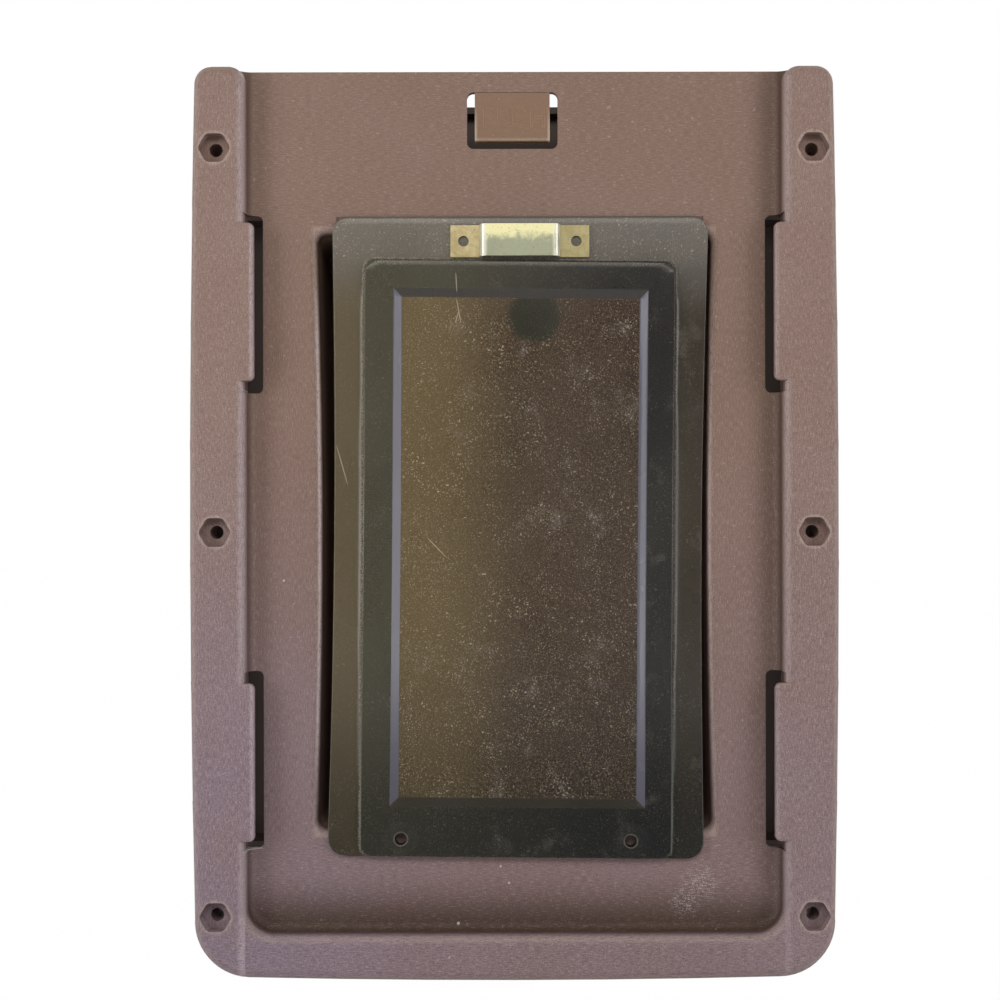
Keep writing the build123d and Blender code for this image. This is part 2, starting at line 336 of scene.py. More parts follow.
# Brown plastic, what rubs, bleaches or soils it, and the painted shade, light and highlights on it
brown = linear(136, 112, 103)
pale_brown = linear(178, 160, 152)
panel_brown = linear(104, 82, 70)
panel_pale = linear(140, 118, 104)
latch_brown = linear(122, 92, 70)
latch_pale = linear(190, 172, 156)
word_brown = linear(154, 126, 100)
# Painted shade: the recess darker than the rails
recess_shade_brown = linear(118, 91, 73)
# Painted shade in the corners at the foot of the walls
toe_shade_brown = linear(64, 46, 33)
# Painted shade in the hollows
hollow_shade_brown = linear(56, 44, 39)
passage_brown = linear(140, 114, 101)
# Painted light on the passage wall near the front
passage_lit_pale = linear(188, 158, 140)
# Chalky fading, and painted cool light from below
chalk_and_cool_violet = linear(134, 125, 155)
# Rub and painted highlight on the front edge of the passage
arris_rub_highlight_pale = linear(210, 196, 196)
# Painted highlight on the inner shoulders of the rails
shoulder_highlight_pale = linear(196, 182, 190)
fleck_white = linear(222, 216, 212)


def wood_grain(s, wide, tall, z):
    """Relief of a fine wood grain, upright at the sides and level at head and foot, and its pebbles."""
    between_rails = s.step(wide, recess_half_mm + 0.5, recess_half_mm - 0.5)
    head_or_foot = s.step(tall, passage_half_mm[1] + 1.4, passage_half_mm[1] + 2.4)
    foot_rail = s.step(z, recess_foot_mm + 0.5, recess_foot_mm - 0.5)
    level = s.most(s.times(between_rails, head_or_foot), foot_rail)
    across, along = 3000, 450
    upright_grain = s.stretched(across, across, along)
    level_grain = s.stretched(along, across, across)
    grain = s.noise(s.mix(level, upright_grain, level_grain), detail=1.0, rough=0.6)
    pebble = s.noise(s.place, 3600.0, 0.0)
    return s.plus(s.times(grain, 0.55), s.times(pebble, 0.45)), pebble


def toe_painted_shade(s, x, wide, z):
    """Painted shade where the recess meets its walls, most on the right and at the foot, and faintly
    darker towards the bottom.
    """
    near_wall = s.step(wide, recess_half_mm - 13.0, recess_half_mm - 1.0)
    off_rail = s.step(wide, recess_half_mm + 3.0, recess_half_mm + 1.0)
    more_right = s.step(x, -60.0, 60.0, 0.1, 0.5)
    side = s.times(near_wall, off_rail, more_right)
    near_foot = s.step(z, recess_foot_mm + 19.5, recess_foot_mm + 0.5)
    off_foot_rail = s.step(z, recess_foot_mm - 4.5, recess_foot_mm - 2.0)
    between_rails = s.step(wide, recess_half_mm + 3.0, recess_half_mm - 1.0)
    foot = s.times(near_foot, off_foot_rail, between_rails, 0.92)
    faint_below = s.step(z, -80.0, -120.0, 0.0, 0.03)
    return s.most(side, s.plus(foot, faint_below))


def past_passage(s, wide, tall):
    """How far a point lies outside the bowed sides of the passage."""
    height = s.times(tall, 1 / passage_half_mm[1])
    bow = s.times(s.minus(1.0, s.times(height, height)), passage_waist_mm)
    return s.plus(wide, bow, -passage_half_mm[0])


def arris_rub_and_highlight(s, x, wide, tall, y, relief):
    """The front edge of the passage, worn pale where animals brush past and painted pale as a highlight,
    most on the left.
    """
    near_edge = s.step(past_passage(s, wide, tall), 1.7, 0.7)
    near_floor = s.step(y, -6.0, -7.4)
    arris = s.times(near_edge, near_floor)
    patches = s.times(s.step(tall, 95.0, 60.0), s.step(relief, 0.32, 0.50))
    more_left = s.step(x, 40.0, -40.0, 0.35, 0.9)
    return s.times(arris, patches, more_left)


def rail_wall_highlight_and_shade(s, x, wide, tall, y):
    """Along the inner walls of the side rails: a painted highlight on the shoulder, and painted shade in
    the corner below.

    At a tab the painted highlight is on the lip of the tab instead.
    """
    low, high = tab_ends_mm
    on_tab = s.times(s.step(tall, low - 0.5, low + 0.5), s.step(tall, high + 0.5, high - 0.5))
    off_tab = s.minus(1.0, on_tab)
    on_face = s.step(wide, recess_half_mm + 2.8, recess_half_mm + 0.6)
    off_floor = s.step(wide, recess_half_mm - 0.8, recess_half_mm - 0.2)
    upper_wall = s.step(y, -9.8, -11.5)
    shoulder_highlight = s.times(on_face, off_floor, upper_wall, off_tab)
    tab_edge = s.step(wide, recess_half_mm - 1.8, recess_half_mm - 2.7)
    tab_front = s.step(y, -12.0, -13.0)
    lip = s.times(tab_edge, tab_front, on_tab)
    wall_highlight = s.most(shoulder_highlight, lip)
    near_wall = s.step(wide, recess_half_mm - 2.6, recess_half_mm - 0.8)
    off_rail = s.step(wide, recess_half_mm + 1.6, recess_half_mm + 0.9)
    lower_wall = s.step(y, -12.0, -10.2)
    corner = s.times(near_wall, off_rail, lower_wall)
    more_left = s.step(x, 60.0, -60.0, 0.22, 0.55)
    wall_highlight = s.times(wall_highlight, more_left)
    return wall_highlight, s.times(corner, s.step(y, *front_depths_mm), 0.45)


def edge_rub_and_highlight(s, wide, tall, y):
    """Edges that hands rub pale, painted pale also as highlights: the rounded ones, round the nut pockets
    and round the passage.
    """
    nx, ny, nz = s.axes(s.vector("ABSOLUTE", s.normal))
    aslant = s.step(s.most(nx, ny, nz), 0.99, 0.8)
    rounded = s.times(aslant, s.step(y, -4.5, -6.0))
    off_wall = s.step(wide, recess_half_mm - 5.0, recess_half_mm - 7.0)
    above_toe = s.step(y, -11.0, -12.5)
    rounded = s.times(rounded, s.most(off_wall, above_toe))
    rise = s.least(tall, s.size(s.plus(tall, -hole_rise_mm)))
    ring = s.distance(s.front_view(wide, rise), (hole_x_mm, 0.0))
    rail_face = s.step(y, -15.4, -15.8)
    pocket = s.times(s.step(ring, 4.5, 4.9), s.step(ring, 6.2, 5.4), rail_face)
    beside = s.step(past_passage(s, wide, tall), 2.2, 0.4)
    within = s.step(tall, passage_half_mm[1] + 3.0, passage_half_mm[1] + 1.8)
    near_floor = s.step(y, -6.0, -7.5)
    passage = s.times(beside, within, near_floor)
    return s.most(s.times(rounded, 0.8), pocket, s.times(passage, 0.9))


def unlit_inside(s, wide, y, z):
    """Inside the hollow rails and the tunnel, where shade falls: the mask of the painted shade there."""
    in_side_rail = s.step(wide, recess_half_mm + 0.4, recess_half_mm + 0.8)
    in_foot_rail = s.step(z, recess_foot_mm - 1.9, recess_foot_mm - 2.3)
    rail = s.most(in_side_rail, in_foot_rail)
    before_floor = s.step(y, rear_floor_mm + 1.0, rear_floor_mm - 1.0)
    before_face = s.step(y, rear_face_mm + 0.05, rear_face_mm - 0.05)
    deep = s.most(before_floor, s.times(rail, before_face))
    lip = s.step(y, rear_from_mm - 0.5, rear_from_mm + 0.5, 0.0, rear_lip_mm)
    in_sides = s.step(s.minus(wide, lip), hollow_half_mm + 0.1, hollow_half_mm - 0.1)
    above_foot = s.step(s.plus(z, lip), hollow_foot_mm - 0.1, hollow_foot_mm + 0.1)
    within = s.times(in_sides, above_foot)
    behind_front = s.step(y, -3.0, 1.0)
    return s.times(behind_front, deep, within)


def hollow_shade_and_passage_light(s, shade, wide, tall, y, z):
    """Painted shade on the hollow insides, dark, and painted light on the passage through them, paler to
    the front.
    """
    half_wide, half_tall = passage_half_mm
    in_wide = s.step(wide, half_wide + 0.4, half_wide + 0.2)
    passage = s.times(in_wide, s.step(tall, half_tall + 1.3, half_tall + 1.1))
    sleeve_wide, sleeve_tall = sleeve_half_mm
    in_sleeve = s.step(wide, sleeve_wide + 0.5, sleeve_wide - 0.5)
    sleeve = s.times(in_sleeve, s.step(tall, sleeve_tall + 0.5, sleeve_tall - 0.5))
    off_sleeve = s.minus(1.0, s.minus(sleeve, passage))
    # Painted shade inside the hollows
    inside = s.times(unlit_inside(s, wide, y, z), off_sleeve, 0.97)
    # Painted light: the passage wall paler towards the front
    passage_lit_front = s.mix(s.step(y, 16.0, -4.0), passage_brown, passage_lit_pale)
    return s.mix(inside, shade, s.mix(passage, hollow_shade_brown, passage_lit_front))


def grained_plastic(name, colour, pale, moulding=True, flecks=(), scuffs=(), chips=()):
    """Brown plastic with a fine wood grain, chalky below with painted cool light, with painted shade in
    the recess, in its corners and in the hollows, and edges rubbed pale and painted pale as highlights.
    """
    s = Shader(name, 0.55, Specular_IOR_Level=0.35)
    x, y, z = s.place_mm()
    wide = s.size(x)
    tall = s.size(z)
    recess = s.step(y, *recess_depths_mm)
    front = s.step(y, *front_depths_mm)
    cloud = s.noise(s.place, 24.0, 2.0)
    relief, pebble = wood_grain(s, wide, tall, z)

    shade = s.mix(s.times(s.step(cloud, 0.42, 0.75), 0.10), colour, pale)
    # Painted shade: the recess floor and the foot of its walls darker than the rails
    shade = s.mix(s.times(recess, 0.43), shade, recess_shade_brown)
    # Violet tint, stronger below and to the left: chalky fading and painted cool light from below
    more_below = s.step(z, 60.0, -130.0)
    cloudy = s.step(cloud, 0.2, 0.6, 0.6, 1.0)
    more_left = s.step(x, -10.0, -100.0, 0.8, 1.4)
    chalk_and_cool_light = s.times(more_below, cloudy, more_left)
    shade = s.mix(s.times(chalk_and_cool_light, s.step(y, *recess_depths_mm, 0.40, 0.30)), shade, chalk_and_cool_violet)
    deeper_below = s.step(z, 120.0, -120.0, 0.72, 1.0)
    depth = s.times(deeper_below, s.step(y, *recess_depths_mm, 1.0, 0.82))
    if moulding:
        # Painted shade where the recess meets its walls
        toe_shade = s.times(toe_painted_shade(s, x, wide, z), recess, front)
        shade = s.mix(toe_shade, shade, toe_shade_brown)
        depth = s.times(depth, s.step(toe_shade, 0.2, 0.9, 1.0, 0.5))
    shade = s.mix(s.times(s.step(relief, 0.50, 0.30), 0.60, depth), shade, scaled(colour, 0.42))
    shade = s.mix(s.times(s.step(relief, 0.50, 0.70), 0.54, depth), shade, scaled(pale, 1.1))

    if moulding:
        broken = s.step(relief, 0.34, 0.58, 0.3, 1.0)
        # Edges rubbed pale and painted pale as highlights
        rub_and_highlight = s.times(edge_rub_and_highlight(s, wide, tall, y), broken, s.step(toe_shade, 0.2, 0.05))
        shade = s.mix(s.times(rub_and_highlight, 0.6), shade, pale)
        # The passage's front edge: rub and a painted highlight, broken into patches
        shade = s.mix(arris_rub_and_highlight(s, x, wide, tall, y, relief), shade, arris_rub_highlight_pale)
        # Painted highlight on the rails' inner shoulders, and painted shade in the corners below them
        shoulder_highlight, corner = rail_wall_highlight_and_shade(s, x, wide, tall, y)
        shade = s.mix(s.times(shoulder_highlight, broken), shade, shoulder_highlight_pale)
        shade = s.mix(corner, shade, toe_shade_brown)
        # Painted shade in the hollows, and painted light on the passage wall near the front
        shade = hollow_shade_and_passage_light(s, shade, wide, tall, y, z)

    back, face = front_depths_mm
    specks = s.peaks(s.stretched(800, 800, 800), 0.80, 0.88)
    worn = s.times(specks, s.step(y, face, back, 0.25, 0.1))
    flat = s.front_view(x, z)
    for fleck_x, fleck_z, reach in flecks:
        worn = s.most(worn, s.times(s.spot(flat, (fleck_x, fleck_z), reach), front))
    for scuff_x, scuff_z, reach in scuffs:
        near = s.step(s.distance(flat, (scuff_x, scuff_z)), reach, 0.0)
        worn = s.most(worn, s.times(near, s.step(relief, 0.50, 0.64), front))
    for start, end in chips:
        worn = s.most(worn, s.times(s.line(flat, start, end, chip_width_mm), front, 1.6))
    shade = s.mix(s.times(worn, 0.55), shade, fleck_white)
    rough = s.step(pebble, 0.2, 0.8, 0.5, 0.66)
    return s.finish(shade, rough, s.bump(relief, 0.00005))


def smooth_plastic(name, colour, pale, rub_and_highlight, root_mm):
    """The same plastic from a polished mould: flow marks, dust, and edges below the root painted pale, as
    rub and as a painted highlight.
    """
    s = Shader(name, 0.45, Specular_IOR_Level=0.35)
    z = s.place_mm()[2]
    flow = s.noise(s.stretched(260, 260, 700), detail=3.0, warp=0.6)
    shade = s.mix(s.step(flow, 0.35, 0.7), scaled(colour, 0.95), scaled(colour, 1.05))
    shade = s.mix(s.times(s.noise(s.place, 2200.0), 0.15), shade, pale)
    shade = s.mix(s.times(s.peaks(s.stretched(900, 900, 900), 0.78, 0.86), 0.2), shade, pale)
    # Sharp edges below the root painted pale: rub and a painted highlight
    below_root = s.step(z, root_mm - 3.0, root_mm - 14.0, 0.0, rub_and_highlight)
    shade = s.mix(s.times(s.sharp_edges(0.0011), below_root), shade, pale)
    return s.finish(shade, s.step(flow, 0.2, 0.8, 0.4, 0.52), s.bump(flow, 0.00002))


# Smoky vinyl, by zone, what lies on it, and the painted light, reflections and shade on it
margin_dark = linear(53, 47, 37)
margin_olive = linear(96, 85, 63)
margin_grey = linear(110, 108, 104)
border_dark = linear(30, 30, 30)
border_olive = linear(72, 70, 54)
pane_brown = linear(52, 38, 31)
pane_gold = linear(102, 87, 55)
foot_blue = linear(22, 29, 32)
pad_green = linear(38, 44, 34)
low_slope = linear(56, 53, 44)
high_slope = linear(54, 49, 44)
# Side bevels: a milky haze and a painted reflection
side_slope_haze_and_sheen = linear(107, 106, 120)
hole_rim = linear(128, 128, 112)
# Painted shade in the holes
hole_shade_dark = linear(10, 12, 11)
film_tan = linear(158, 140, 108)
dust_tan = linear(196, 184, 158)
smear_grey = linear(178, 170, 162)
ledge_grey = linear(170, 164, 144)
glint_grey = linear(150, 156, 152)
scratch_tan = linear(200, 190, 162)


def hanging_view(s, x, z):
    """The front view of the flap before it was hung askew, as x, z and a vector."""
    x = s.minus(x, s.times(s.plus(z, -hinge_z_mm / 2), flap_lean))
    share = s.step(z, hinge_z_mm, hinge_z_mm - tilt_reach_mm)
    z = s.plus(z, s.times(s.plus(x, -flap_x_mm), flap_tilt, share))
    return x, z, s.front_view(x, z)


def tinted_vinyl(name):
    """Soft smoky vinyl: darker where it is thick, olive to brown with painted light from the left, dusty
    and scratched, with painted reflections on the side bevels and painted shade in the holes.
    """
    s = Shader(name, 0.25)
    x, _, z = s.place_mm()
    x, z, flat = hanging_view(s, x, z)
    border = s.box_distance(flat, border_middle_mm, border_half_mm, border_corner_mm)
    across, _, along = s.axes(s.past_box(flat, window_middle_mm, window_half_mm))
    window = s.most(across, along)
    in_border = s.step(border, 0.5, -0.5)
    in_window = s.step(window, -bevel_mm * 0.8, -bevel_mm)
    slope = s.times(s.step(window, 0.1, -0.1), s.step(window, -bevel_mm - 0.1, -bevel_mm + 0.1))
    side_slope = s.times(slope, s.step(s.minus(across, along), -0.1, 0.1))

    cloud = s.noise(s.stretched(30, 30, 22), detail=3.0)
    # Painted light: the vinyl lighter and more olive to the left, broken up by the cloud, and the pane
    # more golden on its left half
    lit = s.plus(s.step(x, 50.0, -60.0), s.times(s.plus(cloud, -0.5), 0.5))
    margin = s.mix(lit, margin_dark, margin_olive)
    margin = s.mix(s.times(s.step(z, 70.0, 104.0), 0.75), margin, margin_grey)
    thick = s.mix(lit, border_dark, border_olive)
    gold = s.plus(s.times(lit, 0.45), s.times(s.step(x, 4.0, -28.0), 0.55))
    pane = s.mix(gold, pane_brown, pane_gold)
    body = s.mix(in_border, margin, thick)
    body = s.mix(in_window, body, pane)
    body = s.mix(s.times(s.step(z, -25.0, -112.0), 0.6), body, foot_blue)
    pad = s.times(s.spot(flat, pad_place_mm, pad_blur_mm), in_window, 0.8)
    body = s.mix(pad, body, pad_green)
    # The bevels round the window: the head and foot ones dark, the side ones lavender-grey, a milky haze
    # and a painted reflection of the side lamps
    end_slope = s.mix(s.step(z, -10.0, 10.0), low_slope, high_slope)
    body = s.mix(s.times(slope, 0.8), body, s.mix(side_slope, end_slope, side_slope_haze_and_sheen))
    hole_middles = [(flap_x_mm + side * hole_spread_mm, hole_z_mm) for side in (-1, 1)]
    hole = s.least(*(s.distance(flat, middle) for middle in hole_middles))
    body = s.mix(s.times(s.step(hole, 2.7, 2.3), 0.4), body, hole_rim)
    # Painted shade: the walls of the holes nearly black
    body = s.mix(s.step(hole, 2.1, 2.0), body, hole_shade_dark)

    bare = s.minus(1.0, s.most(slope, pad))
    pane_dust = s.step(window, 0.0, -bevel_mm, 0.2, 1.0)
    dusty = s.times(bare, s.most(pane_dust, s.step(z, 86.0, 96.0, 0.0, 0.8)))
    haze = s.noise(s.place, 2200.0, 1.0, 0.7)
    film = s.times(s.step(haze, 0.38, 0.72), dusty)
    drift = s.noise(s.stretched(95, 95, 80), detail=3.0, rough=0.6)
    fine = s.peaks(s.stretched(2500, 2500, 2100), 0.62, 0.80)
    coarse = s.times(s.peaks(s.stretched(1150, 1150, 1350), 0.75, 0.83), 1.5)
    grains = s.times(s.most(fine, coarse), dusty, s.step(drift, 0.35, 0.65, 0.6, 1.2))
    smear = s.step(drift, 0.56, 0.74)
    smear = s.times(smear, s.plus(0.25, film), bare, s.step(x, -45.0, 25.0, 0.15, 1.0))
    on_ledge = s.step(s.size(border), 0.8, 0.2)
    ledge = s.times(on_ledge, s.step(haze, 0.45, 0.6), s.step(x, 60.0, -50.0, 0.4, 1.0))
    edge_on = s.step(s.size(s.axes(s.normal)[0]), 0.3, 0.8)
    off_window = s.step(window, 0.2, 0.6)
    glint = s.times(edge_on, s.step(z, -40.0, -95.0), off_window, s.step(hole, 2.5, 3.0))
    scratches = 0.0
    for start, end in scratch_places_mm:
        scratches = s.most(scratches, s.line(flat, start, end, scratch_width_mm))
    body = s.mix(s.times(film, 0.20), body, film_tan)
    body = s.mix(s.times(grains, 0.42), body, dust_tan)
    body = s.mix(s.times(smear, 0.30), body, smear_grey)
    body = s.mix(s.times(ledge, 0.60), body, ledge_grey)
    body = s.mix(s.times(glint, 0.45), body, glint_grey)
    body = s.mix(s.times(scratches, 0.6), body, scratch_tan)

    rough = s.plus(s.step(cloud, 0.2, 0.8, 0.24, 0.34), s.times(slope, -0.04))
    s.plug(s.bsdf.inputs["Specular IOR Level"], s.step(z, -40.0, -100.0, 0.5, 0.12))
    solid = s.step(hole, 7.0, 5.0, 0.88, 1.0)
    ripple = s.noise(s.stretched(90, 90, 60), detail=1.0)
    return s.finish(body, rough, s.bump(haze, 0.000006, s.bump(ripple, 0.00015)), solid)


def dark_vinyl(name):
    """Thick vinyl that lets no light through."""
    s = Shader(name, 0.4)
    cloud = s.noise(s.place, 150.0, 3.0)
    body = s.mix(cloud, linear(26, 34, 28), linear(44, 50, 42))
    return s.finish(body, s.step(cloud, 0.3, 0.7, 0.3, 0.5))


# Yellow plating, on the feet and on the bridge of the clip, where it is stained, and the painted
# reflections and highlights on it
foot_yellow = linear(172, 158, 114)
foot_bright = linear(194, 182, 142)
foot_olive = linear(140, 134, 92)
# Painted reflection on the bridge, yellow above and grey below, and painted highlights at the bends
bridge_reflection_grey = linear(156, 161, 138)
bridge_reflection_yellow = linear(228, 224, 176)
bend_highlight = linear(232, 230, 214)
roll_line_tan = linear(150, 140, 108)
stain_brown = linear(120, 112, 84)


def zinc_strip(name, low, high):
    """Rolled strip with yellow plating, painted as a reflection bright yellow on top of the bridge and
    grey below, with painted highlights at the bends, roll lines and stains.
    """
    s = Shader(name, 0.35, Metallic=0.6)
    x, y, z = s.place_mm()
    lines = s.noise(s.stretched(60, 4000, 4000), detail=2.0)
    stain = s.noise(s.place, 330.0, 4.0, rough=0.6, warp=0.5)
    middle = (low.x + high.x) / 2 / MM
    height = s.step(z, low.z / MM, high.z / MM)
    height = s.plus(height, s.times(s.plus(stain, -0.5), 0.9))
    out = s.size(s.plus(x, -middle))
    foot = s.mix(s.step(stain, 0.35, 0.65), foot_yellow, foot_bright)
    foot = s.mix(s.times(s.step(x, middle, middle + 15), 0.5), foot, foot_olive)
    # Painted reflection: the bridge bright yellow on top and grey below, with a mottled edge; painted
    # highlights at the bends
    bridge = s.mix(s.step(height, 0.42, 0.85), bridge_reflection_grey, bridge_reflection_yellow)
    bend_highlight_mask = s.times(s.step(out, 10.6, 12.0), s.step(stain, 0.2, 0.5, 0.6, 1.0))
    bridge = s.mix(s.times(bend_highlight_mask, 0.8), bridge, bend_highlight)
    plate = s.mix(s.step(y, -11.6, -12.4), foot, bridge)
    plate = s.mix(s.times(s.step(lines, 0.4, 0.7), 0.10), plate, roll_line_tan)
    pits = s.peaks(s.stretched(1500, 1500, 1500), 0.66, 0.78)
    plate = s.mix(s.times(pits, 0.3), plate, stain_brown)
    rough = s.step(stain, 0.25, 0.75, 0.30, 0.45)
    return s.finish(plate, rough, s.bump(lines, 0.000006))


def dull_magnet(name):
    """Dark pressed magnet with a sandy skin."""
    s = Shader(name, 0.7)
    grit = s.noise(s.place, 3000.0, 3.0)
    body = s.mix(grit, linear(28, 27, 26), linear(58, 56, 54))
    return s.finish(body, normal=s.bump(grit, 0.00003))


def dress(obj, mat):
    """One material on every slot of an object."""
    if not obj.data.materials:
        obj.data.materials.append(mat)
    for slot in obj.material_slots:
        slot.material = mat


wear = {"flecks": fleck_places_mm, "scuffs": scuff_places_mm, "chips": chip_places_mm}
dress(nodes["interior_frame"], grained_plastic("frame_plastic", brown, pale_brown, **wear))
dress(nodes["exterior_frame"], grained_plastic("rear_plastic", brown, pale_brown))
dress(nodes["closing_panel"], grained_plastic("panel_plastic", panel_brown, panel_pale, moulding=False))
latch_low, latch_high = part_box("push_latch")
latch_root_mm = latch_high.z / MM
latch_plastic = smooth_plastic("latch_plastic", latch_brown, latch_pale, 0.9, latch_root_mm)
dress(nodes["push_latch"], latch_plastic)
dress(nodes["magnet_clip"], zinc_strip("clip_metal", *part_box("magnet_clip")))
dress(nodes["flap_magnet"], dull_magnet("magnet"))


def rounded_rect(x, z, middle, half, corner):
    """Signed distance to a rectangle with round corners, negative inside."""
    dx = abs(x - middle[0]) - half[0] + corner
    dz = abs(z - middle[1]) - half[1] + corner
    return math.hypot(max(dx, 0), max(dz, 0)) + min(max(dx, dz), 0) - corner


def flap_thickness(x, z):
    """Thickness of the flap at a point of its front view, in millimetres."""
    border = rounded_rect(x, z, border_middle_mm, border_half_mm, border_corner_mm)
    lift = min(max(-border / border_round_mm, 0.0), 1.0)
    thick = sheet_mm + border_mm * math.sqrt(1 - (1 - lift) ** 2)
    ramp = -rounded_rect(x, z, window_middle_mm, window_half_mm, 0.0) / bevel_mm
    return thick - border_mm * min(max(ramp, 0.0), 1.0)


def flap_sag(x, z):
    """How far the free middle of the flap bellies back into the passage."""
    half_tall = passage_half_mm[1]
    span = min(max((z + half_tall) / (2 * half_tall), 0.0), 1.0)
    side = 1 - 0.35 * ((x - flap_x_mm) / flap_half_mm) ** 2
    wave = flap_wave_mm * math.sin(0.11 * x + 0.05 * z) * math.sin(math.pi * span)
    return flap_sag_mm * math.sin(math.pi * span) ** 2 * side + wave


def stations(length, marks):
    """Distances along a side: close together at each marked edge and wider apart between them."""
    spots = set(rim_steps_mm) | {length - d for d in rim_steps_mm}
    for mark in marks:
        spots |= {mark + d for d in mark_steps_mm}
    spots = sorted(d for d in spots if 0 <= d <= length)
    out = []
    for a, b in zip(spots, spots[1:]):
        n = max(1, round((b - a) / widest_step_mm))
        out += [a + (b - a) * i / n for i in range(n)]
    return out + [length]


def rim_drop(edge):
    """How far each face falls away near the rounded rim."""
    e = min(edge / rim_round_mm, 1.0)
    return rim_round_mm * (1 - math.sqrt(1 - (1 - e) ** 2))


def flap_faces(x, z, edge):
    """Front and back of the flap along Y. Above the hinge line they follow the round bead."""
    back = flap_back_mm + flap_sag(x, z)
    front = back - flap_thickness(x, z) + rim_drop(edge)
    back -= rim_drop(edge)
    if z > hinge_z_mm:
        reach = math.sqrt(max(bead_mm ** 2 - (z - hinge_z_mm) ** 2, 0.0))
        front = max(front, hinge_y_mm - reach)
        back = min(back, hinge_y_mm + reach)
    return front, max(back, front)


def flap_outline(u, v, wide, tall):
    """A point of the flap's front view, with round corners and sides that pull in."""
    x, z = u - wide / 2, v - tall / 2
    p = max(abs(x) - wide / 2 + flap_corner_mm, 0)
    q = max(abs(z) - tall / 2 + flap_corner_mm, 0)
    if p > 0 and q > 0:
        pull = max(p, q) / math.hypot(p, q)
        x = math.copysign(wide / 2 - flap_corner_mm + p * pull, x)
        z = math.copysign(tall / 2 - flap_corner_mm + q * pull, z)
    bow = 1 - flap_waist_mm / flap_half_mm * (1 - (2 * z / tall) ** 2)
    return flap_x_mm + x * bow, z + (flap_high_mm + flap_low_mm) / 2


def askew(x, z):
    """The flap hangs a little askew: its foot lies to the left and its right side low."""
    share = min(max((hinge_z_mm - z) / tilt_reach_mm, 0.0), 1.0)
    share *= share * (3 - 2 * share)
    return x + flap_lean * (z - hinge_z_mm / 2), z - flap_tilt * share * (x - flap_x_mm)


def build_flap():
    """A closed skin with a front and a back grid, joined round the rim."""
    wide = 2 * flap_half_mm
    tall = flap_high_mm - flap_low_mm
    us = stations(wide, [*side_marks_mm, *(wide - d for d in side_marks_mm)])
    vs = stations(tall, [*foot_marks_mm, *(tall - d for d in head_marks_mm)])
    bm = bmesh.new()
    front, back = [], []
    for v in vs:
        row_front, row_back = [], []
        for u in us:
            x, z = flap_outline(u, v, wide, tall)
            near, far = flap_faces(x, z, min(u, wide - u, v, tall - v))
            x, z = askew(x, z)
            row_front.append(bm.verts.new((x * MM, near * MM, z * MM)))
            row_back.append(bm.verts.new((x * MM, far * MM, z * MM)))
        front.append(row_front)
        back.append(row_back)
    rows, cols = len(vs), len(us)
    for i in range(rows - 1):
        for j in range(cols - 1):
            bm.faces.new((front[i][j], front[i][j + 1], front[i + 1][j + 1], front[i + 1][j]))
            bm.faces.new((back[i][j], back[i + 1][j], back[i + 1][j + 1], back[i][j + 1]))
    ring = [(0, j) for j in range(cols)] + [(i, cols - 1) for i in range(1, rows)]
    ring += [(rows - 1, j) for j in range(cols - 2, -1, -1)] + [(i, 0) for i in range(rows - 2, 0, -1)]
    for (i, j), (m, n) in zip(ring, ring[1:] + ring[:1]):
        bm.faces.new((front[i][j], back[i][j], back[m][n], front[m][n]))
    bmesh.ops.recalc_face_normals(bm, faces=bm.faces)
    return bm


def mesh_object(name, bm, mat, smooth=True):
    """A new object from a bmesh, with its material and smooth shading."""
    mesh = bpy.data.meshes.new(name)
    bm.to_mesh(mesh)
    bm.free()
    for poly in mesh.polygons:
        poly.use_smooth = smooth
    mesh.materials.append(mat)
    obj = bpy.data.objects.new(name, mesh)
    bpy.context.scene.collection.objects.link(obj)
    return obj


def round_bar(name, mat, radius, length, place, bevel):
    """A round bar along Y with softened rims, in millimetres."""
    bm = bmesh.new()
    r = radius * MM
    bmesh.ops.create_cone(bm, cap_ends=True, segments=48, radius1=r, radius2=r, depth=length * MM)
    rims = [e for e in bm.edges if len({round(v.co.z, 7) for v in e.verts}) == 1]
    bmesh.ops.bevel(bm, geom=rims, offset=bevel * MM, segments=3, affect="EDGES", profile=0.5)
    turn = Vector((0, 0, 1)).rotation_difference(Vector((0, 1, 0))).to_matrix()
    for v in bm.verts:
        v.co = turn @ v.co + Vector(place) * MM
    return mesh_object(name, bm, mat)


def cut_holes(obj, places, radius):
    """Round holes straight through an object, each cut with a bar along Y."""
    for x, z in places:
        bar = round_bar("cutter", obj.active_material, radius, 30, (x, flap_back_mm, z), 0.01)
        mod = obj.modifiers.new("hole", "BOOLEAN")
        mod.operation = "DIFFERENCE"
        mod.solver = "EXACT"
        mod.object = bar
        bpy.context.view_layer.update()
        graph = bpy.context.evaluated_depsgraph_get()
        done = bpy.data.meshes.new_from_object(obj.evaluated_get(graph))
        obj.modifiers.clear()
        old = obj.data
        obj.data = done
        bpy.data.meshes.remove(old)
        bpy.data.objects.remove(bar)


flap = mesh_object("flap_sheet", build_flap(), tinted_vinyl("flap_vinyl"))
cut_holes(flap, [askew(flap_x_mm + side * hole_spread_mm, hole_z_mm) for side in (-1, 1)], hole_mm)
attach(flap, "flap")
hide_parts("flap")

pad_x, pad_z = askew(*pad_place_mm)
pad_place = (pad_x, flap_back_mm + flap_sag(*pad_place_mm) + 0.4 * pad_thick_mm, pad_z)
pad = round_bar("flap_pad", dark_vinyl("pad_vinyl"), pad_mm, pad_thick_mm, pad_place, 0.4)
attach(pad, "flap")

